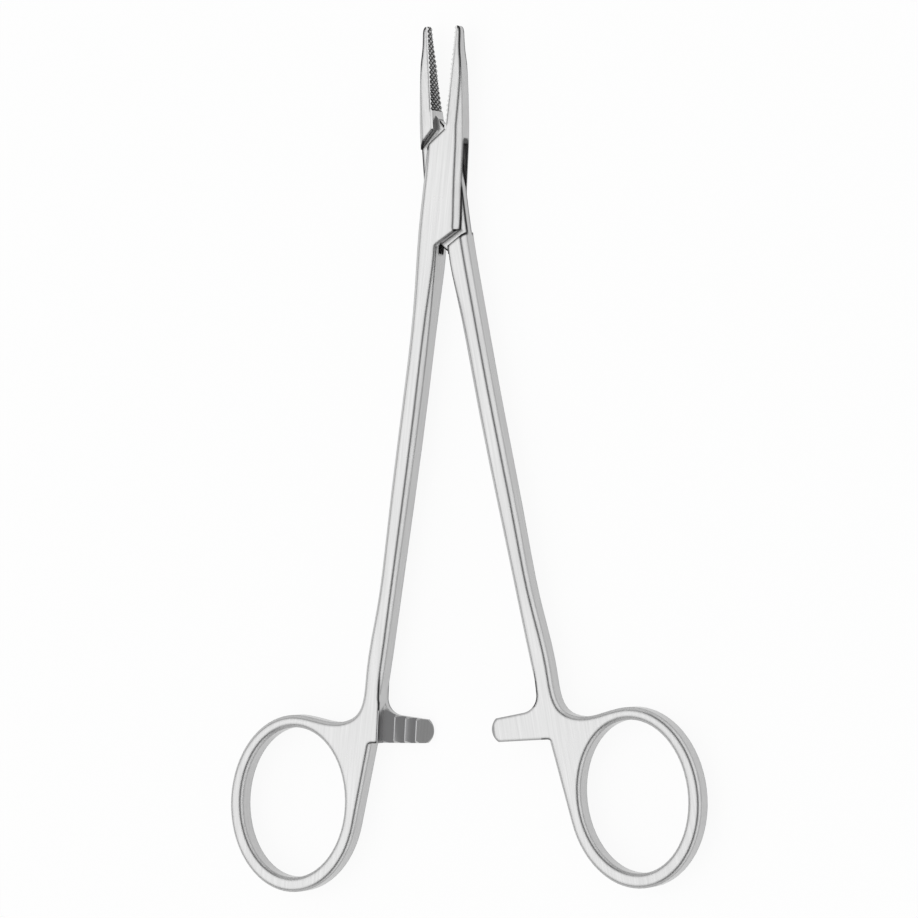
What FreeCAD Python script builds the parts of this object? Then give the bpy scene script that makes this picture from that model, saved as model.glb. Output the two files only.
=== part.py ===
import FreeCAD, Part
import math
import os

# Surgical needle holder with a box lock. Two forged steel halves cross in the lock:
# the box half has two walls with a slot between them, and the tongue half passes
# through that slot. A flush rivet joins them. All sizes are in millimetres.
#
# Each half is drawn as it lies when the jaws are shut, with the pivot at the origin,
# the jaws towards +Y, the finger rings towards -Y and the middle of the thickness at
# height 0. It is then turned about the pivot to the open rest position and lifted so
# that the back of the box lies at height 0.

# Jaws
jaw_tip_y = 28.2            # pivot to the tips
jaw_nose_width = 0.42        # flat of the tip beside the biting face
jaw_shoulder_y = 26.1       # where the rounded nose has become the side of the jaw
jaw_shoulder_width = 1.25
jaw_front_y = 22.3
jaw_front_width = 1.8
jaw_middle_y = 15.4
jaw_middle_width = 2.7
jaw_root_y = 9.3
jaw_root_width = 3.24
jaw_tip_thickness = 1.6
jaw_taper_start_y = 10.7    # the jaws thin out from here to the tips
bite_tip_gap = 0.04         # between the biting faces at the tips, jaws shut
bite_root_gap = 0.34        # between them at the box, so that the tips meet first

# Cross-cut teeth of the biting faces
bite_pitch = 0.85           # along the jaw
bite_depth = 0.28
bite_angle = 30.0           # of the grooves from square across the jaw, each way
bite_land = 0.05            # flat crest between two grooves
bite_end_box_jaw_y = 10.9
bite_end_tongue_jaw_y = 13.4

# Box lock
box_thickness = 5.0
wall_thickness = 1.55       # of each wall of the box
tongue_clearance = 0.05     # on each side of the tongue in the slot
box_pivot_width = 7.06      # across the box at the pivot
box_foot_y = -8.0
box_foot_width = 7.7
wall_top_y = 10.0           # upper edge of the walls on the centre line
wall_top_slope = 45.0
wall_foot_y = -10.2         # lower edge of the walls on the centre line
wall_foot_slope = 38.0
step_top_clearance = 0.3    # along Y, from the walls to the step of the tongue half, jaws shut
step_foot_clearance = 0.42
step_foot_slope = 31.0      # flatter than the wall, so that the gap opens outwards
tongue_top_inner_y = 12.6   # shoulder of the tongue at the biting face
tongue_top_outer_y = 7.55   # shoulder of the tongue at the outer side of the box
tongue_foot_inner_y = -11.4
tongue_foot_outer_y = -7.9
slot_end_clearance = 0.3    # along Y, between the tongue and the ends of the slot

# Rivet
rivet_radius = 1.5
rivet_head_radius = 1.95
rivet_head_depth = 0.8
rivet_running_clearance = 0.04

# Finger rings
ring_x = 22.9               # centre of the hole, from the centre line
ring_y = -108.8             # and from the pivot
ring_hole_width = 19.8
ring_hole_length = 26.4
ring_side_rim = 2.4
ring_top_rim = 2.15
ring_bottom_rim = 2.55
ring_end_thickness = 3.8    # of the forging at the far end of the rings
crotch_x = 14.3             # lowest point between shank and ring
crotch_above_ring = 14.7    # above the centre of the hole
crotch_radius = 2.4         # from that point across to the side of the shank
crotch_rise = 1.1           # and up

# Shanks: gap from the centre line and width at five stations
shank_start_inset = 0.22    # where the inner side leaves the box
shank_root_y = -20.0
shank_root_inset = 0.7
shank_root_width = 3.62
shank_upper_above_foot = 49.0
shank_upper_inset = 1.98
shank_upper_width = 3.52
shank_waist_above_foot = 26.0
shank_waist_inset = 4.15
shank_waist_width = 3.25
shank_neck_above_foot = 13.0
shank_neck_inset = 5.45
shank_neck_width = 3.06
shank_foot_above_crotch = 8.1
shank_foot_inset = 6.82
shank_foot_width = 3.3

# Bevelled sides of the forgings: a flat front band, a steep bevel and an upright middle
bevel_depth = 1.08
bevel_width = 0.86
bevel_start_fade = 0.62     # less of it where the inner side of the shanks leaves the box
bevel_root_fade = 0.25      # and at their roots
edge_break = 0.2            # on the sloping edges of the walls and steps
thickness_taper_y = -12.0   # the handles thin out from here to the ends of the rings

# Ratchet
arm_tip_x = -1.85           # tip of the arm, beyond the centre line
arm_tip_corner = 1.0
arm_above_ring = 14.0       # middle of the arm above the centre of the hole
arm_tip_height = 4.1
arm_corner_x = 7.2          # where its upper edge would meet the shank
arm_root_height = 5.3
arm_fillet = 3.0
arm_under_fillet = 1.6         # of the corner below the arm, behind the recess
arm_tip_thickness = 0.7     # the toothed side slopes down to this at the tip
arm_edge = 0.35             # chamfer round the plain side of the arm
tooth_count = 3
tooth_pitch = 2.07
tooth_height = 0.7
tooth_crest = 0.2           # flat top of each tooth
tooth_land = 2.7            # from the tip of the arm to the first tooth
tooth_edge = 0.4            # chamfer round the toothed side of the arm
tooth_clearance = 0.1       # from the tooth crests to the middle of the thickness
recess_above_arm = 6.3      # toothed recess, from the middle of the arm
recess_below_arm = 5.4

# Position
handle_set = 1.4            # the handles stand over to the tongue half's side by this angle
rest_opening = 10.0         # angle between the halves at rest, from jaws shut

# Derived sizes
half_box = box_thickness / 2
tongue_half_thickness = half_box - wall_thickness - tongue_clearance
slot_half_thickness = half_box - wall_thickness
crotch_y = ring_y + crotch_above_ring
shank_foot_y = crotch_y + shank_foot_above_crotch
shank_neck_y = shank_foot_y + shank_neck_above_foot
shank_waist_y = shank_foot_y + shank_waist_above_foot
shank_upper_y = shank_foot_y + shank_upper_above_foot
arm_middle_y = ring_y + arm_above_ring
ring_centre = FreeCAD.Vector(ring_x, ring_y, 0)
ring_outer_x = ring_hole_width / 2 + ring_side_rim
ring_outer_y = (ring_hole_length + ring_top_rim + ring_bottom_rim) / 2
ring_outer_centre = FreeCAD.Vector(ring_x, ring_y + (ring_top_rim - ring_bottom_rim) / 2, 0)
ring_end_y = ring_outer_centre.y - ring_outer_y
reach = 2 * (jaw_tip_y - ring_end_y)   # longer than the whole instrument, for cutting tools
BOX_SIDE = -1                          # the handle of the box half lies at -X
TONGUE_SIDE = 1
SAME_PLACE = 0.01

os.makedirs("parts", exist_ok=True)


def point(x, y, z=0.0):
    return FreeCAD.Vector(x, y, z)


def slope(degrees):
    return math.tan(math.radians(degrees))


def unit(vector):
    return vector / vector.Length


def line(start, end):
    return Part.LineSegment(start, end).toShape()


def smooth(points, start, end):
    """One smooth edge through the points, leaving and arriving in the given directions."""
    lengths = [0.0]
    for before, after in zip(points, points[1:]):
        lengths.append(lengths[-1] + (after - before).Length)
    curve = Part.BSplineCurve()
    curve.interpolate(Points=points, Parameters=lengths, InitialTangent=unit(start),
                      FinalTangent=unit(end), Scale=False)
    return curve.toShape()


def prism(points, low, high):
    """Upright block over a closed outline of straight edges."""
    corners = [point(p.x, p.y, low) for p in points]
    face = Part.Face(Part.makePolygon(corners + corners[:1]))
    return face.extrude(point(0, 0, high - low))


def both_faces(tool):
    """A cutting tool for the front, and its twin for the back."""
    return [tool, tool.mirror(point(0, 0), point(0, 0, 1))]


def handle_point(side, x, y):
    """Point of a handle, drawn at +X, with the set of the handles put in."""
    turn = FreeCAD.Rotation(point(0, 0, 1), side * handle_set)
    return turn.multVec(point(x, y))


def bite_x(y):
    """Biting face of the jaw drawn at -X."""
    share = (y - wall_top_y) / (jaw_tip_y - wall_top_y)
    return -(bite_root_gap + (bite_tip_gap - bite_root_gap) * share) / 2


def box_half_width(y):
    """Half the width of the box, which widens from its top to its foot."""
    if y > 0:
        return (box_pivot_width + (2 * jaw_root_width - box_pivot_width) * y / jaw_root_y) / 2
    return (box_pivot_width + (box_foot_width - box_pivot_width) * y / box_foot_y) / 2


def ring_tangent(px, py):
    """Angle on the outer ring ellipse where a line from a point meets its inner side."""
    u = (px - ring_outer_centre.x) / ring_outer_x
    v = (py - ring_outer_centre.y) / ring_outer_y
    return math.atan2(v, u) + math.acos(1 / math.hypot(u, v))


def ring_point(side, angle):
    return handle_point(side,
                        ring_outer_centre.x + ring_outer_x * math.cos(angle),
                        ring_outer_centre.y + ring_outer_y * math.sin(angle))


def ring_outline(side, centre, half_width, half_length):
    """Upright ellipse of a ring, with the set of the handles put in."""
    return Part.Ellipse(handle_point(side, centre.x, centre.y + half_length),
                        handle_point(side, centre.x - half_width, centre.y),
                        handle_point(side, centre.x, centre.y))


def bevel_tool(chain, travel, inward=1, width=bevel_width, depth=bevel_depth):
    """Wedge for the front edge along a chain of edges, its forging on the left (inward 1)."""
    overlap = width / 4
    rise = overlap * depth / width
    start = chain[0].valueAt(chain[0].FirstParameter)
    across = point(-travel.y, travel.x) * inward
    outer = start - across * overlap
    inner = start + across * (width + overlap)
    corners = [outer + point(0, 0, half_box - depth - rise),
               inner + point(0, 0, half_box + rise),
               outer + point(0, 0, half_box + rise)]
    sweep = Part.BRepOffsetAPI.MakePipeShell(Part.Wire(chain))
    sweep.setBiNormalMode(point(0, 0, 1))
    sweep.add(Part.makePolygon(corners + corners[:1]))
    sweep.build()
    sweep.makeSolid()
    return sweep.shape()


def broken(body, *edges):
    """Take off the sharp front and back edges between pairs of points, the steel on their left."""
    for start, end in edges:
        tool = bevel_tool([line(start, end)], unit(end - start), 1, edge_break, edge_break)
        body = body.cut(both_faces(tool))
    return body


def thinned(body, start_y, end_y, end_thickness):
    """Slope the front and back down towards one end of the instrument."""
    past_y = end_y + (end_y - start_y) / 4
    past_half = end_thickness / 2 - (half_box - end_thickness / 2) / 4
    corners = [point(-reach, start_y, half_box),
               point(-reach, past_y, past_half),
               point(-reach, past_y, box_thickness),
               point(-reach, start_y, box_thickness)]
    face = Part.Face(Part.makePolygon(corners + corners[:1]))
    return body.cut(both_faces(face.extrude(point(2 * reach, 0, 0))))


def blank(side, shoulder, foot_line):
    """Bevelled forging of one half, drawn with its handle at +X and its jaw at -X.

    The shoulder runs from the biting face out to the side of the box above the handle,
    and the foot line from the other side of the box to the centre line below the pivot.
    """
    foot_start, foot_centre = foot_line
    foot_end = handle_point(side, shank_start_inset, foot_centre.y)
    foot_end.y = foot_start.y + (foot_centre - foot_start).y * (
        (foot_end.x - foot_start.x) / (foot_centre.x - foot_start.x))
    foot = handle_point(side, shank_foot_inset, shank_foot_y)
    join_angle = ring_tangent(shank_foot_inset, shank_foot_y)
    ring_join = ring_point(side, join_angle)
    join_x = ring_outer_centre.x + ring_outer_x * math.cos(join_angle)
    join_y = ring_outer_centre.y + ring_outer_y * math.sin(join_angle)
    slant = (join_x - shank_foot_inset) / (shank_foot_y - join_y)
    ring_top = ring_point(side, math.pi / 2)
    tip = point(bite_x(jaw_tip_y), jaw_tip_y)
    nose = point(tip.x - jaw_nose_width, jaw_tip_y)
    down = handle_point(side, 0, -1)

    jaw_side = smooth([nose,
                       point(-jaw_shoulder_width, jaw_shoulder_y),
                       point(-jaw_front_width, jaw_front_y),
                       point(-jaw_middle_width, jaw_middle_y),
                       point(-jaw_root_width, jaw_root_y),
                       point(-box_half_width(0), 0),
                       foot_start], point(-1, 0), point(0, -1))
    inner_points = [foot_end,
                    handle_point(side, shank_root_inset, shank_root_y),
                    handle_point(side, shank_upper_inset, shank_upper_y),
                    handle_point(side, shank_waist_inset, shank_waist_y),
                    handle_point(side, shank_neck_inset, shank_neck_y),
                    foot,
                    ring_join]
    inner_side = smooth(inner_points, down, ring_join - foot)
    faded_points = [inner_points[0] - point(bevel_start_fade, 0),
                    inner_points[1] - point(bevel_root_fade, 0)] + inner_points[2:]
    inner_bevel = smooth(faded_points, down, ring_join - foot)
    outline = ring_outline(side, ring_outer_centre, ring_outer_x, ring_outer_y)
    ring_side = Part.ArcOfEllipse(outline, outline.parameter(ring_join),
                                  outline.parameter(ring_top)).toShape()
    outer_side = smooth([ring_top,
                         handle_point(side, crotch_x, crotch_y),
                         handle_point(side, crotch_x - crotch_radius, crotch_y + crotch_rise),
                         handle_point(side, shank_foot_inset + shank_foot_width, shank_foot_y),
                         handle_point(side, shank_neck_inset + shank_neck_width, shank_neck_y),
                         handle_point(side, shank_waist_inset + shank_waist_width, shank_waist_y),
                         handle_point(side, shank_upper_inset + shank_upper_width, shank_upper_y),
                         handle_point(side, shank_root_inset + shank_root_width, shank_root_y),
                         point(box_half_width(box_foot_y), box_foot_y),
                         point(box_half_width(0), 0),
                         shoulder[0]], -handle_point(side, 1, 0), point(0, 1))
    outside = Part.Wire([line(tip, nose), jaw_side, line(foot_start, foot_end), inner_side,
                         ring_side, outer_side, line(shoulder[0], shoulder[1]),
                         line(shoulder[1], tip)])
    past_shoulder = line(shoulder[0], shoulder[0] + point(0, bevel_depth))
    hole = ring_outline(side, ring_centre, ring_hole_width / 2, ring_hole_length / 2).toShape()

    body = slab(outside).cut(slab(Part.Wire(hole)))
    for chain, travel, inward in (([jaw_side], point(-1, 0), 1),
                                  ([inner_bevel, ring_side, outer_side, past_shoulder], down, 1),
                                  ([hole], hole.tangentAt(hole.FirstParameter), -1)):
        body = body.cut(both_faces(bevel_tool(chain, travel, inward)))
    plate, recess = arm(side, slant)
    if side == TONGUE_SIDE:
        plate, recess = [part.mirror(point(0, 0), point(0, 0, 1)) for part in (plate, recess)]
    body = body.cut(recess).fuse(plate)
    body = thinned(body, thickness_taper_y, ring_end_y, ring_end_thickness)
    return thinned(body, jaw_taper_start_y, jaw_tip_y, jaw_tip_thickness)


def slab(outline):
    """Full thickness of the box over a closed outline."""
    face = Part.Face(outline)
    face.translate(point(0, 0, -half_box))
    return face.extrude(point(0, 0, box_thickness))


def arm(side, slant):
    """Ratchet arm with its teeth in front, and the recess round them that the shank needs.

    slant is how far the inner side of the shank runs outwards for each step along -Y.
    """
    top = arm_middle_y + arm_tip_height / 2
    bottom = arm_middle_y - arm_tip_height / 2
    root_top = arm_middle_y + arm_root_height / 2
    root_bottom = arm_middle_y - arm_root_height / 2
    start_y = root_top + 3 * arm_fillet
    end_y = root_bottom - 3 * arm_fillet

    def flat_edge(y):
        return shank_foot_inset + (shank_foot_y - y) * slant + bevel_width

    tip_top = handle_point(side, arm_tip_x + arm_tip_corner, top)
    tip_bottom = handle_point(side, arm_tip_x + arm_tip_corner, bottom)
    corners = [tip_bottom,
               handle_point(side, flat_edge(root_bottom), root_bottom),
               handle_point(side, flat_edge(end_y), end_y),
               handle_point(side, flat_edge(end_y) + bevel_width / 2, end_y),
               handle_point(side, flat_edge(start_y) + bevel_width / 2, start_y),
               handle_point(side, flat_edge(start_y), start_y),
               handle_point(side, arm_corner_x, root_top),
               tip_top]
    sides = [line(before, after) for before, after in zip(corners, corners[1:])]
    tip = Part.Arc(tip_top, handle_point(side, arm_tip_x, arm_middle_y), tip_bottom).toShape()
    plate = slab(Part.Wire([tip] + sides))
    for corner, radius in ((corners[1], arm_under_fillet), (corners[6], arm_fillet)):
        upright = [edge for edge in plate.Edges if edge.BoundBox.ZLength > half_box
                   and edge.BoundBox.Center.distanceToPoint(corner) < SAME_PLACE]
        plate = plate.makeFillet(radius, upright)

    crest_z = -tooth_clearance
    valley_z = crest_z - tooth_height
    first_crest_x = arm_tip_x + tooth_land
    past_tip_x = arm_tip_x - arm_tip_corner
    wall_x = first_crest_x + tooth_count * tooth_pitch
    recess = across_arm(side, [(past_tip_x, box_thickness), (past_tip_x, crest_z),
                               (wall_x, crest_z), (wall_x, box_thickness)])
    tip_slope = (crest_z + half_box - arm_tip_thickness) / (tooth_land - tooth_crest)
    past_tip_z = crest_z - tip_slope * (first_crest_x - tooth_crest - past_tip_x)
    teeth = [(past_tip_x, box_thickness), (past_tip_x, past_tip_z)]
    for tooth in range(tooth_count):
        crest_x = first_crest_x + tooth * tooth_pitch
        teeth += [(crest_x - tooth_crest, crest_z), (crest_x, crest_z), (crest_x, valley_z)]
    teeth += [(wall_x, crest_z), (wall_x, box_thickness)]

    plate = plate.cut(recess)
    wall = line(handle_point(side, wall_x, top + arm_root_height),
                handle_point(side, wall_x, bottom - arm_root_height))
    hidden = [wall] + sides[1:6]
    plate = plate.makeChamfer(tooth_edge, rim_edges(plate, crest_z, hidden))
    plate = plate.makeChamfer(arm_edge, rim_edges(plate, -half_box, hidden))
    return plate.cut(across_arm(side, teeth)), recess


def rim_edges(plate, height, hidden):
    """Edges of a plate at one height that don't follow the lines where it is hidden."""
    rim = []
    for edge in plate.Edges:
        middle = edge.valueAt((edge.FirstParameter + edge.LastParameter) / 2)
        level = abs(edge.BoundBox.ZMin - height) + abs(edge.BoundBox.ZMax - height) < SAME_PLACE
        shadow = Part.Vertex(point(middle.x, middle.y))
        if level and min(shadow.distToShape(edge_line)[0] for edge_line in hidden) > SAME_PLACE:
            rim.append(edge)
    return rim


def across_arm(side, profile):
    """Block with a profile in X and Z, as tall as the recess round the arm."""
    corners = [point(x, arm_middle_y + recess_above_arm, z) for x, z in profile]
    face = Part.Face(Part.makePolygon(corners + corners[:1]))
    block = face.extrude(point(0, -recess_above_arm - recess_below_arm, 0))
    block.rotate(point(0, 0), point(0, 0, 1), side * handle_set)
    return block


def bite_grooves(end_y):
    """V grooves, crossed both ways over the biting face from a given height to the tips."""
    along = unit(point(bite_x(jaw_tip_y) - bite_x(end_y), jaw_tip_y - end_y))
    inward = point(-along.y, along.x)
    zone = prism([point(-jaw_root_width, end_y), point(jaw_root_width, end_y),
                  point(jaw_root_width, jaw_tip_y + bite_pitch),
                  point(-jaw_root_width, jaw_tip_y + bite_pitch)], -half_box, half_box)
    half_groove = (bite_pitch * math.cos(math.radians(bite_angle)) - bite_land) / 2
    count = int((jaw_tip_y - end_y) / bite_pitch) + 4
    grooves = []
    for lean in (-bite_angle, bite_angle):
        sine = math.sin(math.radians(lean))
        cosine = math.cos(math.radians(lean))
        run = along * sine + point(0, 0, cosine)
        across = along * cosine - point(0, 0, sine)
        for k in range(count):
            y = jaw_tip_y + (1.5 - k) * bite_pitch
            middle = point(bite_x(y), y) - run * box_thickness
            corners = [middle - across * half_groove * 2 - inward * bite_depth,
                       middle + across * half_groove * 2 - inward * bite_depth,
                       middle + inward * bite_depth]
            face = Part.Face(Part.makePolygon(corners + corners[:1]))
            groove = face.extrude(run * 2 * box_thickness).common(zone)
            grooves += groove.Solids
    return grooves


def rivet():
    """Rivet through the box, with a conical head in each wall."""
    body = Part.makeCylinder(rivet_radius, box_thickness, point(0, 0, -half_box))
    head = Part.makeCone(rivet_radius, rivet_head_radius, rivet_head_depth,
                         point(0, 0, half_box - rivet_head_depth))
    for part in both_faces(head):
        body = body.fuse(part)
    return body.removeSplitter()


def past(a, b):
    """Point beyond b on the line from a, as far again."""
    return b + (b - a)


def tongue_half():
    shoulder = [point(box_half_width(tongue_top_outer_y), tongue_top_outer_y),
                point(bite_x(tongue_top_inner_y), tongue_top_inner_y)]
    foot_line = [point(-box_half_width(tongue_foot_outer_y), tongue_foot_outer_y),
                 point(0, tongue_foot_inner_y)]
    body = blank(TONGUE_SIDE, shoulder, foot_line)

    left = -box_foot_width
    right = box_foot_width
    step_x = bite_x(wall_top_y)
    shank_x = handle_point(TONGUE_SIDE, shank_start_inset, tongue_foot_inner_y).x
    cap_y = tongue_top_inner_y + half_box
    floor_y = tongue_foot_inner_y - half_box

    def top_step(x):
        return wall_top_y + step_top_clearance + x * slope(wall_top_slope)

    def foot_step(x):
        return wall_foot_y - step_foot_clearance + x * slope(step_foot_slope)

    pocket = prism([point(left, top_step(left)), point(step_x, top_step(step_x)),
                    point(bite_x(cap_y), cap_y), point(right, cap_y),
                    point(right, foot_step(right)), point(shank_x, foot_step(shank_x)),
                    point(shank_x, floor_y), point(left, floor_y)],
                   tongue_half_thickness, box_thickness)
    body = body.cut(both_faces(pocket))
    body = broken(body, (point(left, top_step(left)), point(step_x, top_step(step_x))),
                  (point(right, foot_step(right)), point(shank_x, foot_step(shank_x))))
    bore = Part.makeCylinder(rivet_radius + rivet_running_clearance, box_thickness,
                             point(0, 0, -half_box))
    return body.cut([bore] + bite_grooves(bite_end_tongue_jaw_y))


def box_half():
    """Drawn with its handle at +X like the other half, and mirrored when it is finished."""
    shoulder_x = box_half_width(wall_top_y - jaw_root_width * slope(wall_top_slope))
    centre_x = bite_x(wall_top_y)
    shoulder = [point(shoulder_x, wall_top_y - shoulder_x * slope(wall_top_slope)),
                point(centre_x, wall_top_y - centre_x * slope(wall_top_slope))]
    foot_x = box_half_width(box_foot_y)
    foot_line = [point(-foot_x, wall_foot_y + foot_x * slope(wall_foot_slope)),
                 point(0, wall_foot_y)]
    body = blank(BOX_SIDE, shoulder, foot_line)
    foot_inner_x = handle_point(BOX_SIDE, shank_start_inset, wall_foot_y).x
    foot_inner_y = wall_foot_y - foot_inner_x * slope(wall_foot_slope)
    body = broken(body, shoulder, (foot_line[0], point(foot_inner_x, foot_inner_y)))

    top_outer = point(-box_half_width(tongue_top_outer_y),
                      tongue_top_outer_y + slot_end_clearance)
    top_inner = point(-bite_x(tongue_top_inner_y), tongue_top_inner_y + slot_end_clearance)
    foot_outer = point(box_half_width(tongue_foot_outer_y),
                       tongue_foot_outer_y - slot_end_clearance)
    foot_inner = point(0, tongue_foot_inner_y - slot_end_clearance)
    top_right = past(top_outer, top_inner)
    top_left = past(top_inner, top_outer)
    foot_right = past(foot_inner, foot_outer)
    foot_left = past(foot_outer, foot_inner)
    slot = prism([top_left, top_right, point(foot_right.x, top_right.y), foot_right,
                  foot_left, point(top_left.x, foot_left.y)],
                 -slot_half_thickness, slot_half_thickness)
    body = body.cut([slot, rivet()] + bite_grooves(bite_end_box_jaw_y))
    return body.mirror(point(0, 0), point(1, 0, 0))


def at_rest(body, side):
    """Turn a part about the pivot to the open rest position, its back at height 0."""
    body.rotate(point(0, 0), point(0, 0, 1), side * rest_opening / 2 - handle_set)
    body.translate(point(0, 0, half_box))
    return body


at_rest(box_half(), BOX_SIDE).exportStep("parts/box_half.step")
at_rest(tongue_half(), TONGUE_SIDE).exportStep("parts/tongue_half.step")
at_rest(rivet(), BOX_SIDE).exportStep("parts/pivot_rivet.step")
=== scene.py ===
# %% [markdown]
# # Surgical needle holder in satin stainless steel
#
# A needle holder lies open on a pale table. The camera looks down on it, a little from the
# right. Its two forged halves and its rivet come from the CAD model with their real shapes.
# What is left for Blender is the part that makes steel look like steel: smooth reflections,
# the fine lines of the brushing, rounded edges, shade painted along the rims and into the gaps,
# and a room to reflect.

# %% Load the fixed frame
import math

import bmesh
import bpy
from mathutils import Matrix, Vector


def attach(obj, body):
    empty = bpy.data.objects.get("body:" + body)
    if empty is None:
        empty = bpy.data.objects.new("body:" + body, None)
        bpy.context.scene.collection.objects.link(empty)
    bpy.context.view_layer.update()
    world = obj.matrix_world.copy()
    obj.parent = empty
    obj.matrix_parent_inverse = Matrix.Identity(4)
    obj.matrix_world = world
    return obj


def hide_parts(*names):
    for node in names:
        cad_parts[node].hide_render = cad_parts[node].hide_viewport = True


MM = 0.001

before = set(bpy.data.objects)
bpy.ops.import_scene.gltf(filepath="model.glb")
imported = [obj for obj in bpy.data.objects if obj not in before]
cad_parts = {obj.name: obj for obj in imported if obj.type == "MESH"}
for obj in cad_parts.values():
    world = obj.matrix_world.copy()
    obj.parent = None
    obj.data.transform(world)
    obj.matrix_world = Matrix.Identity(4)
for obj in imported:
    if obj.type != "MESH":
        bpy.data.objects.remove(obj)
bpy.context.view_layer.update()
print("CAD nodes:", sorted(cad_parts))

# %% [markdown]
# ## Two small tools
#
# Colours are given as sRGB hex codes, as a paint program shows them. A shader works
# with linear light, so one function turns every code to linear. Shader nodes are added by
# one other function, which keeps the settings and the links of a node in one place.


# %% Colours and nodes
def linear(code):
    """A linear colour for a shader, from an sRGB hex code such as "c8c8c6"."""
    parts = [int(code[k:k + 2], 16) / 255 for k in (0, 2, 4)]
    return [c / 12.92 if c <= 0.04045 else ((c + 0.055) / 1.055) ** 2.4 for c in parts] + [1.0]


def add_node(tree, kind, inputs=None, **settings):
    """Add a shader node; an input is a value, or the output socket that feeds it."""
    node = tree.nodes.new(kind)
    for name, value in settings.items():
        setattr(node, name, value)
    for name, value in (inputs or {}).items():
        if isinstance(value, bpy.types.NodeSocket):
            tree.links.new(value, node.inputs[name])
        else:
            node.inputs[name].default_value = value
    return node


# %% [markdown]
# ## Smooth halves
#
# The CAD mesh is made of loose triangles, and each one would reflect the room by itself, so
# the round sides of the finger rings would look cut with a knife. A copy of each solid is
# merged at its corners and shaded smooth, except where two faces meet at a real edge. The
# copy rides on the body of its solid and stands in for it. Remeshing would also give smooth
# sides, but it would wear away the teeth and the serrations, which are the point of this tool.

# %% Merge the solids and keep their real edges sharp
EDGE_ANGLE = math.radians(22)
SAME_CORNER = 0.0005 * MM


def smooth_copy(name, body):
    """A merged copy of a CAD solid, smooth except at its real edges."""
    shape = bmesh.new()
    shape.from_mesh(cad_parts[name].data)
    bmesh.ops.remove_doubles(shape, verts=shape.verts[:], dist=SAME_CORNER)
    for face in shape.faces:
        face.smooth = True
    for edge in shape.edges:
        edge.smooth = edge.is_manifold and edge.calc_face_angle() < EDGE_ANGLE
    open_edges = sum(not edge.is_manifold for edge in shape.edges)
    mesh = bpy.data.meshes.new(name + "_steel")
    shape.to_mesh(mesh)
    shape.free()
    piece = bpy.data.objects.new(name + "_steel", mesh)
    bpy.context.scene.collection.objects.link(piece)
    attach(piece, body)
    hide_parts(name)
    print(piece.name, len(mesh.polygons), "faces,", open_edges, "open edges")
    return piece


box_half = smooth_copy("box_half", "box_body")
tongue_half = smooth_copy("tongue_half", "tongue_body")
pivot_rivet = smooth_copy("pivot_rivet", "box_body")

# %% [markdown]
# ## Where the steel is finished in another way
#
# The serrations of the jaws and the teeth of the ratchet are cut in their own steps, so they
# don't look like the belt-brushed rest, and the rivet is ground until its ends can't be told
# from the box wall. These zones could be pieces with materials of their own, but on the real
# tool they are one steel with no seam. So each zone is a mask in the one material, from 0
# outside it to 1 inside. A mask is worked out from the place on the piece, so it moves with
# the piece and stays the same from every side. Masks need a little arithmetic, which gets
# short names first.


# %% Arithmetic on values and masks
def near(tree, value, middle, reach):
    """1 where a value is within reach of a middle, 0 elsewhere."""
    return add_node(tree, "ShaderNodeMath", {0: value, 1: middle, 2: reach},
                    operation="COMPARE").outputs[0]


def sum_of(tree, first, second):
    """Sum of two masks, at most 1."""
    return add_node(tree, "ShaderNodeMath", {0: first, 1: second},
                    operation="ADD", use_clamp=True).outputs[0]


def product(tree, first, second):
    """Product of two values, which for two masks is where both are."""
    return add_node(tree, "ShaderNodeMath", {0: first, 1: second},
                    operation="MULTIPLY").outputs[0]


def spread(tree, value, low, high, to_low=0.0, to_high=1.0):
    """Carry a value from the range low to high over to another range."""
    return add_node(tree, "ShaderNodeMapRange", {
        "Value": value, "From Min": low, "From Max": high,
        "To Min": to_low, "To Max": to_high}).outputs["Result"]


def outside(tree, mask):
    """The mask of everything that another mask leaves out."""
    return spread(tree, mask, 1.0, 0.0)


# %% Directions of the two halves
# How far the biting face, the handle and the shank of each half are turned from Y at rest.
JAW_ANGLES = {"box_half": math.radians(-6.4), "tongue_half": math.radians(3.6)}
HANDLE_ANGLES = {"box_half": math.radians(-5), "tongue_half": math.radians(5)}
SHANK_ANGLES = {"box_half": math.radians(-8), "tongue_half": math.radians(8)}


def turned(tree, place, angle):
    """A place on the piece, measured along a direction at an angle from Y."""
    return add_node(tree, "ShaderNodeMapping", {
        "Vector": place, "Rotation": (0, 0, -angle)}).outputs["Vector"]


def parts_of(tree, vector):
    """X, Y and Z of a vector."""
    return add_node(tree, "ShaderNodeSeparateXYZ", {"Vector": vector}).outputs


# %% Zone of the serrations
# Where it starts, from the rivet along the jaw, and how far it reaches to either side.
BITE_START = 10 * MM
BITE_REACH = 0.5 * MM
# The faces of the grooves stand up; the flat top and bottom of the jaw next to them don't.
UPRIGHT_REACH = 0.8


def bite_zones(tree, jaw, facing_up):
    """Masks for the strip of jaw that bites, and for its serrated face alone."""
    in_front = add_node(tree, "ShaderNodeMath", {0: jaw["Y"], 1: BITE_START},
                        operation="GREATER_THAN").outputs[0]
    strip = product(tree, near(tree, jaw["X"], 0.0, BITE_REACH), in_front)
    return strip, product(tree, strip, near(tree, facing_up, 0.0, UPRIGHT_REACH))


# %% Zone of the ratchet
# The middle of each arm, across the handle and along it, and how far the arm reaches from it.
ARM_MIDDLES = {"box_half": -2.6 * MM, "tongue_half": 2.6 * MM}
ARM_HEIGHT = -95 * MM
ARM_REACH = 4.6 * MM
ARM_HALF_WIDTH = 3.4 * MM
# The teeth are on the front of one arm and on the back of the other, where they meet.
TOOTHED_SIDES = {"box_half": 1.0, "tongue_half": -1.0}
# How far the Z of a face's normal may be from that side; only the wide reach takes chamfers.
CHAMFER_REACH = 0.5
TOOTH_REACH = 0.1


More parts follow.
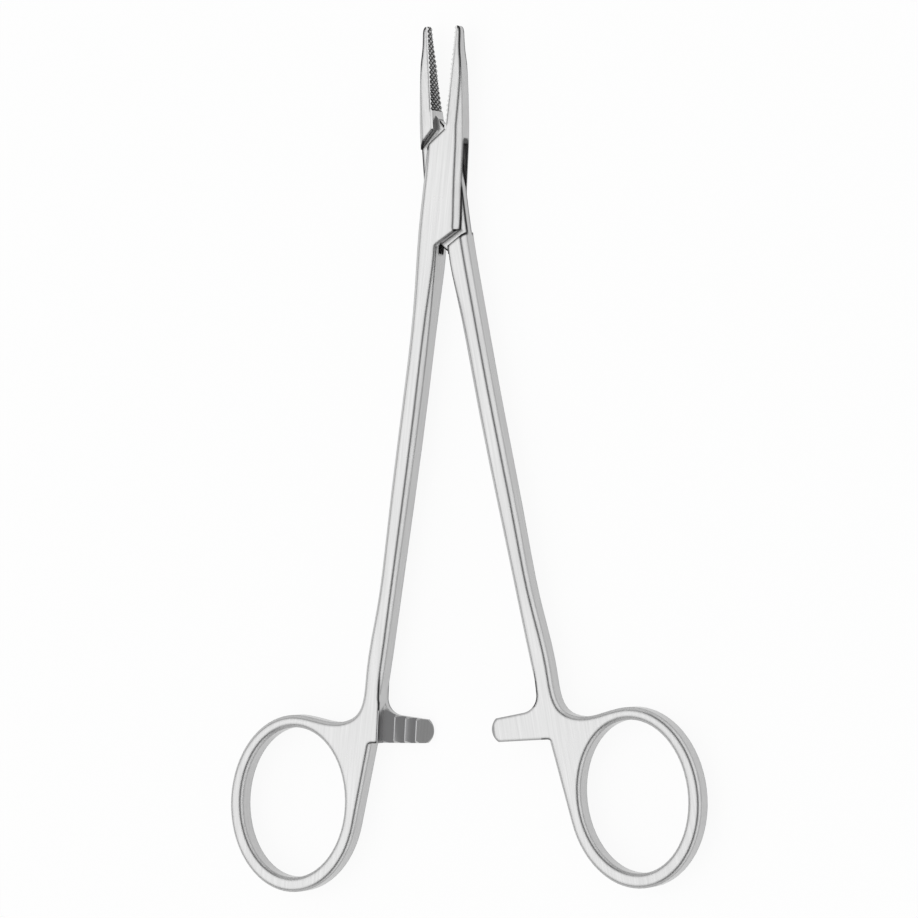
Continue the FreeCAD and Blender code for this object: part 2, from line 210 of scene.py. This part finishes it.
def ratchet_zones(tree, handle, facing_up, half):
    """Masks for the arm, for its toothed side with the chamfers, and for the teeth alone."""
    arm = product(tree, near(tree, handle["X"], ARM_MIDDLES[half], ARM_REACH),
                  near(tree, handle["Y"], ARM_HEIGHT, ARM_HALF_WIDTH))
    toothed_side, teeth = [
        product(tree, arm, near(tree, facing_up, TOOTHED_SIDES[half], reach))
        for reach in (CHAMFER_REACH, TOOTH_REACH)]
    return arm, toothed_side, teeth


# %% Zone of the rivet
# The ends of the rivet are ground flush, so within this radius no edge may show.
RIVET_REACH = 2.4 * MM


def rivet_zone(tree, place):
    """Mask for the end of the rivet and the steel that is ground with it."""
    flat_place = add_node(tree, "ShaderNodeVectorMath", {0: place, 1: (1.0, 1.0, 0.0)},
                          operation="MULTIPLY").outputs["Vector"]
    from_axis = add_node(tree, "ShaderNodeVectorMath", {0: flat_place},
                         operation="LENGTH").outputs["Value"]
    return add_node(tree, "ShaderNodeMath", {0: from_axis, 1: RIVET_REACH},
                    operation="LESS_THAN").outputs[0]


# %% [markdown]
# ## Edges and rims
#
# Forged and tumbled steel has no knife edges: they are rounded by a few tenths of a
# millimetre, and each rounding reflects a thin stripe of another part of the room. Real
# bevels on the mesh would break on the crowded edges of the serrations, so the Bevel node
# bends the reflections instead, while the outline stays that of the solid. Along the rims a
# darker line is painted into the steel's colour. It is painted shade, standing in for the dark
# part of the room that the rounded rims reflect and for the shade at their foot. Rays that
# start into the steel and soon leave it again tell where a rim is.

# %% Rounded edges and the painted shade along the rims
EDGE_RADIUS = 0.6 * MM
CRISP_RADIUS = 0.03 * MM
RIM_WIDTH = 0.55 * MM
# Share of rays that stay inside over that width, where the line starts and where it is full.
RIM_START = 0.94
RIM_FULL = 0.7
# The thin arms are nearly all rim, so they lose this share of the line.
ARM_RIM_LOSS = 0.4
RAYS = 8


def rounded_edges(tree, crisp, rivet):
    """Normal that rounds the edges for the light, and hardly does so where steel is cut."""
    radius = add_node(tree, "ShaderNodeMix", {0: crisp, 2: EDGE_RADIUS, 3: CRISP_RADIUS})
    return add_node(tree, "ShaderNodeBevel", {
        "Radius": product(tree, radius.outputs[0], outside(tree, rivet))},
        samples=RAYS).outputs["Normal"]


def painted_rim_shade(tree, bite_strip, arm, toothed_side, rivet):
    """Mask for the painted shade along the rims, weaker on the thin arms and left out where
    steel is cut.
    """
    inside = add_node(tree, "ShaderNodeAmbientOcclusion", {"Distance": RIM_WIDTH},
                      samples=RAYS, inside=True, only_local=True).outputs["AO"]
    arm_loss = sum_of(tree, toothed_side, product(tree, arm, ARM_RIM_LOSS))
    loss = sum_of(tree, bite_strip, arm_loss)
    kept = product(tree, outside(tree, loss), outside(tree, rivet))
    return product(tree, spread(tree, inside, RIM_START, RIM_FULL), kept)


# %% [markdown]
# ## Painted shade in the gaps and valleys
#
# Light hardly gets into the gaps of the box lock and the valleys between the serrations, so
# their shade is painted into the colour as a near-black grey. The Ambient Occlusion node finds
# the gaps. The valleys are too small for it, and there the depth below the crests is known
# exactly, from the place on the piece, which gives clean dark lines between bright points.

# %% Painted shade in the gaps and the valleys
GROOVE_WIDTH = 0.7 * MM
# Share of rays that get away over that width, where the painted shade starts and where it is
# full.
GAP_START = 0.55
GAP_FULL = 0.3
BITE_END = 28.2 * MM
# The biting faces stand a little off the middle plane of the jaws, less so at the tips.
CREST_AT_START = 0.17 * MM
CREST_AT_END = 0.02 * MM
VALLEY_START = 0.07 * MM
VALLEY_FULL = 0.24 * MM


def painted_gap_shade(tree, jaw, bite):
    """Mask for the painted shade in the gaps of the box and between the serrations."""
    open_sky = add_node(tree, "ShaderNodeAmbientOcclusion", {"Distance": GROOVE_WIDTH},
                        samples=RAYS).outputs["AO"]
    from_middle = add_node(tree, "ShaderNodeMath", {0: jaw["X"]},
                           operation="ABSOLUTE").outputs[0]
    crest = spread(tree, jaw["Y"], BITE_START, BITE_END, CREST_AT_START, CREST_AT_END)
    depth = add_node(tree, "ShaderNodeMath", {0: from_middle, 1: crest},
                     operation="SUBTRACT").outputs[0]
    valley = product(tree, spread(tree, depth, VALLEY_START, VALLEY_FULL), bite)
    return sum_of(tree, spread(tree, open_sky, GAP_START, GAP_FULL), valley)


# %% [markdown]
# ## Brushed stainless steel
#
# The real halves are forged, ground to shape, and then brushed along their length on a fine
# belt, which leaves lines a few hundredths of a millimetre wide. The eye sees a calm light
# grey that goes from bright to dark in soft bands, with faint streaks along the tool.
#
# An image of brushed metal could be wrapped round the solids, but it would stretch on the
# rings. A noise that is drawn out along one axis follows the solid everywhere instead. One
# noise makes the lines, a wider one makes streaks where the belt pressed harder, and a cloudy
# one varies the polish.

# %% Lines, streaks and clouds of the brushing
# The real lines are about 0.03 mm wide; they are drawn at 0.12 mm to show at all.
LINE_WIDTH = 0.12 * MM
LINE_LENGTH = 9 * MM
LINE_HEIGHT = 0.02 * MM
LINE_STRENGTH = 0.12
STREAK_WIDTH = 0.35 * MM
STREAK_LENGTH = 25 * MM
CLOUD_SIZE = 9 * MM
NOISE_DETAIL = 3.0
NOISE_ROUGHNESS = 0.6
# Noise keeps near its middle, so this narrower range is spread over the two greys.
NOISE_LOW, NOISE_HIGH = 0.32, 0.68


def drawn_out(tree, place, width, length):
    """Noise in strips of one width and length along Y."""
    strips = add_node(tree, "ShaderNodeMapping", {
        "Vector": place, "Scale": (1 / width, 1 / length, 1 / width)}).outputs["Vector"]
    return add_node(tree, "ShaderNodeTexNoise", {
        "Vector": strips, "Scale": 1.0, "Detail": NOISE_DETAIL,
        "Roughness": NOISE_ROUGHNESS}).outputs["Fac"]


# %% Greys of the steel
BRUSHED_DARK = linear("b2b2b2")
BRUSHED_LIGHT = linear("c4c4c4")
MILLED_GREY = linear("a2a2a3")
# Painted shade: a near-black line along the rims, for the dark reflections and shade at the
# rounded edges.
RIM_SHADE_GREY = linear("2c2c2d")
# Painted shade: near-black for the gaps of the box lock and the valleys of the serrations.
GAP_SHADE_GREY = linear("0c0c0c")
# Roughness of a fine belt finish; the clouds vary it between these two.
SATIN_LOW, SATIN_HIGH = 0.24, 0.32
# Sockets of the Mix node that carry its share, its two colours and its result.
MIX_SHARE, MIX_COLOURS, MIX_RESULT = 0, (6, 7), 2


def blend_colours(tree, share, first, second):
    """Colour between two, each a colour or an output socket."""
    mix = add_node(tree, "ShaderNodeMix", data_type="RGBA")
    tree.links.new(share, mix.inputs[MIX_SHARE])
    for number, colour in zip(MIX_COLOURS, (first, second)):
        if isinstance(colour, bpy.types.NodeSocket):
            tree.links.new(colour, mix.inputs[number])
        else:
            mix.inputs[number].default_value = colour
    return mix.outputs[MIX_RESULT]


def brushed_grey(tree, lines, streaks):
    """Grey that lines and streaks vary, half and half."""
    both = sum_of(tree, product(tree, lines, 0.5), product(tree, streaks, 0.5))
    return blend_colours(tree, spread(tree, both, NOISE_LOW, NOISE_HIGH),
                         BRUSHED_DARK, BRUSHED_LIGHT)


# %% The material of one half
def brushed_steel(name, half):
    """Belt-brushed stainless steel, with its lines along the shank of one half."""
    material = bpy.data.materials.new(name)
    material.use_nodes = True
    tree = material.node_tree
    tree.nodes.clear()
    coordinates = add_node(tree, "ShaderNodeTexCoord").outputs
    place = coordinates["Object"]
    along_shank = turned(tree, place, SHANK_ANGLES[half])
    jaw = parts_of(tree, turned(tree, place, JAW_ANGLES[half]))
    handle = parts_of(tree, turned(tree, place, HANDLE_ANGLES[half]))
    facing_up = parts_of(tree, coordinates["Normal"])["Z"]

    bite_strip, bite = bite_zones(tree, jaw, facing_up)
    arm, toothed_side, teeth = ratchet_zones(tree, handle, facing_up, half)
    rivet = rivet_zone(tree, place)
    rim = painted_rim_shade(tree, bite_strip, arm, toothed_side, rivet)
    gap_shade = painted_gap_shade(tree, jaw, bite)

    lines = drawn_out(tree, along_shank, LINE_WIDTH, LINE_LENGTH)
    streaks = drawn_out(tree, along_shank, STREAK_WIDTH, STREAK_LENGTH)
    clouds = add_node(tree, "ShaderNodeTexNoise", {
        "Vector": place, "Scale": 1 / CLOUD_SIZE, "Detail": NOISE_DETAIL}).outputs["Fac"]
    grey = blend_colours(tree, teeth, brushed_grey(tree, lines, streaks), MILLED_GREY)
    # Painted shade along the rims, standing in for dark reflections and the shade at the foot
    # of the edges.
    grey = blend_colours(tree, rim, grey, RIM_SHADE_GREY)
    # Painted shade in the gaps of the box and in the valleys of the serrations.
    grey = blend_colours(tree, gap_shade, grey, GAP_SHADE_GREY)

    edges = rounded_edges(tree, sum_of(tree, bite_strip, arm), rivet)
    relief = add_node(tree, "ShaderNodeBump", {
        "Height": lines, "Strength": LINE_STRENGTH, "Distance": LINE_HEIGHT, "Normal": edges})
    shader = add_node(tree, "ShaderNodeBsdfPrincipled", {
        "Base Color": grey, "Metallic": 1.0,
        "Roughness": spread(tree, clouds, 0.0, 1.0, SATIN_LOW, SATIN_HIGH),
        "Normal": relief.outputs["Normal"]})
    add_node(tree, "ShaderNodeOutputMaterial", {"Surface": shader.outputs["BSDF"]})
    print(name, len(tree.nodes), "nodes")
    return material


# %% Finish the three pieces
# Belt-brushed forgings: satin light grey with faint streaks along each shank.
box_half.data.materials.append(brushed_steel("stainless_belt_brushed_box", "box_half"))
tongue_half.data.materials.append(brushed_steel("stainless_belt_brushed_tongue", "tongue_half"))
# A rivet ground flush and brushed with the box wall: its grey and its lines run through.
pivot_rivet.data.materials.append(brushed_steel("stainless_ground_flush", "box_half"))

# %% [markdown]
# ## Table
#
# The tool lies on a plain matt white board. A white board under more light would also turn
# white in the picture, but the light would wash out the steel. So what the camera and the
# steel see of the board is lifted towards plain white, and the rest keeps its soft shadow.

# %% Table
TABLE_SIZE = 6.0
BOARD_COLOUR = linear("fafafa")
BOARD_ROUGHNESS = 0.9
WHITE_SHARE = 0.92


def seen_rays(tree):
    """1 for rays from the camera, off shiny pieces or through glass, 0 for other light."""
    ray = add_node(tree, "ShaderNodeLightPath").outputs
    return sum_of(tree, sum_of(tree, ray["Is Camera Ray"], ray["Is Glossy Ray"]),
                  ray["Is Transmission Ray"])


def matt_board(name):
    """Matt painted board: even and pale, with no gloss, and plain white where it is seen."""
    material = bpy.data.materials.new(name)
    material.use_nodes = True
    tree = material.node_tree
    tree.nodes.clear()
    paint = add_node(tree, "ShaderNodeBsdfPrincipled", {
        "Base Color": BOARD_COLOUR, "Roughness": BOARD_ROUGHNESS})
    white = add_node(tree, "ShaderNodeEmission", {"Color": linear("ffffff"), "Strength": 1.0})
    mixed = add_node(tree, "ShaderNodeMixShader", {
        0: product(tree, seen_rays(tree), WHITE_SHARE),
        1: paint.outputs["BSDF"], 2: white.outputs["Emission"]})
    add_node(tree, "ShaderNodeOutputMaterial", {"Surface": mixed.outputs["Shader"]})
    return material


board = bmesh.new()
bmesh.ops.create_grid(board, x_segments=1, y_segments=1, size=TABLE_SIZE / 2)
table_mesh = bpy.data.meshes.new("table_top")
board.to_mesh(table_mesh)
board.free()
table_mesh.materials.append(matt_board("table_top_matt_board"))
table_top = bpy.data.objects.new("table_top", table_mesh)
bpy.context.scene.collection.objects.link(table_top)
print("table, m:", TABLE_SIZE)

# %% [markdown]
# ## A room to reflect
#
# Steel has no look of its own: it shows the room. The flat faces of the tool point at the
# left of the ceiling as the camera sees them, so that side of the room is bright and makes
# them light. The right of the ceiling is dimmer, so that the milled teeth and the shoulders
# of the bevels turn darker, and a bright strip low on the right lights the bevels
# themselves. Card and lamps round the tool could do this, as a photographer's do. The room
# is drawn in the world's shader instead, as bands round the length of the tool, because a
# band is moved by one number. A softbox on the bright side gives a soft shadow.

# %% Bands of the room
# Angle to the right from straight up, in degrees, and brightness there.
BANDS = ((-95, 1.15), (-12, 1.15), (2, 0.42), (64, 0.42), (75, 1.7), (100, 1.7))

world = bpy.data.worlds.new("studio_room")
bpy.context.scene.world = world
world.use_nodes = True
room = world.node_tree
room.nodes.clear()
way = parts_of(room, add_node(room, "ShaderNodeTexCoord").outputs["Generated"])
angle_right = add_node(room, "ShaderNodeMath", {0: way["X"], 1: way["Z"]},
                       operation="ARCTAN2").outputs[0]
bands = add_node(room, "ShaderNodeValToRGB", {
    "Fac": spread(room, angle_right, -math.pi, math.pi)})
marks = bands.color_ramp.elements
while len(marks) < len(BANDS):
    marks.new(0.5)
# The ramp sorts its marks as they move, so all are placed before any gets its brightness.
for mark, (degrees, strength) in zip(marks, BANDS):
    mark.position = (degrees + 180) / 360
for mark, (degrees, strength) in zip(marks, BANDS):
    mark.color = (strength, strength, strength, 1.0)
background = add_node(room, "ShaderNodeBackground", {"Color": bands.outputs["Color"]})
add_node(room, "ShaderNodeOutputWorld", {"Surface": background.outputs["Background"]})
print("room bands:", len(marks))

# %% Softbox
SOFTBOX_PLACE = Vector((-0.8, -0.05, 1.15))
SOFTBOX_AIM = Vector((0, -0.05, 0))
SOFTBOX_WIDTH = 1.2
SOFTBOX_LENGTH = 1.6
SOFTBOX_RADIANCE = 0.5

lamp = bpy.data.lights.new("softbox_left", "AREA")
lamp.shape = "RECTANGLE"
lamp.size = SOFTBOX_WIDTH
lamp.size_y = SOFTBOX_LENGTH
# The watts follow from the area, so that a larger softbox would look no brighter.
lamp.energy = SOFTBOX_RADIANCE * math.pi * SOFTBOX_WIDTH * SOFTBOX_LENGTH
softbox = bpy.data.objects.new("softbox_left", lamp)
softbox.location = SOFTBOX_PLACE
softbox.rotation_euler = (SOFTBOX_AIM - SOFTBOX_PLACE).to_track_quat("-Z", "Y").to_euler()
bpy.context.scene.collection.objects.link(softbox)
print("softbox, W:", round(lamp.energy, 2))

# %% [markdown]
# ## Camera
#
# The camera stands a metre away with a long lens, 24 degrees to the right of straight above,
# so that the right-hand sides of the bevels show. A short lens nearby would frame the tool
# as well, but it would draw the near side larger than the far one. The camera is rolled by
# two degrees, which makes the tool lean in the picture as it does in the photograph.

# %% Camera
LENS = 226.3
SENSOR_WIDTH = 36.0
ROLL = math.radians(2.05)
DISTANCE = 1.0
# The point in the middle of the picture, and the direction from there to the camera.
TARGET = Vector((0.00205, -0.0474, 0.005))
BACK = Vector((0.4061, -0.0233, 0.9135)).normalized()

up_hint = Vector((math.sin(ROLL), math.cos(ROLL), 0.0))
right = up_hint.cross(BACK).normalized()
turn = Matrix((right, BACK.cross(right), BACK)).transposed()
camera_data = bpy.data.cameras.new("camera")
camera_data.lens = LENS
camera_data.sensor_width = SENSOR_WIDTH
camera = bpy.data.objects.new("camera", camera_data)
camera.matrix_world = Matrix.Translation(TARGET + DISTANCE * BACK) @ turn.to_4x4()
bpy.context.scene.collection.objects.link(camera)
bpy.context.scene.camera = camera
bpy.context.scene.view_settings.view_transform = "Standard"
print("camera at, m:", [round(v, 3) for v in camera.matrix_world.translation])
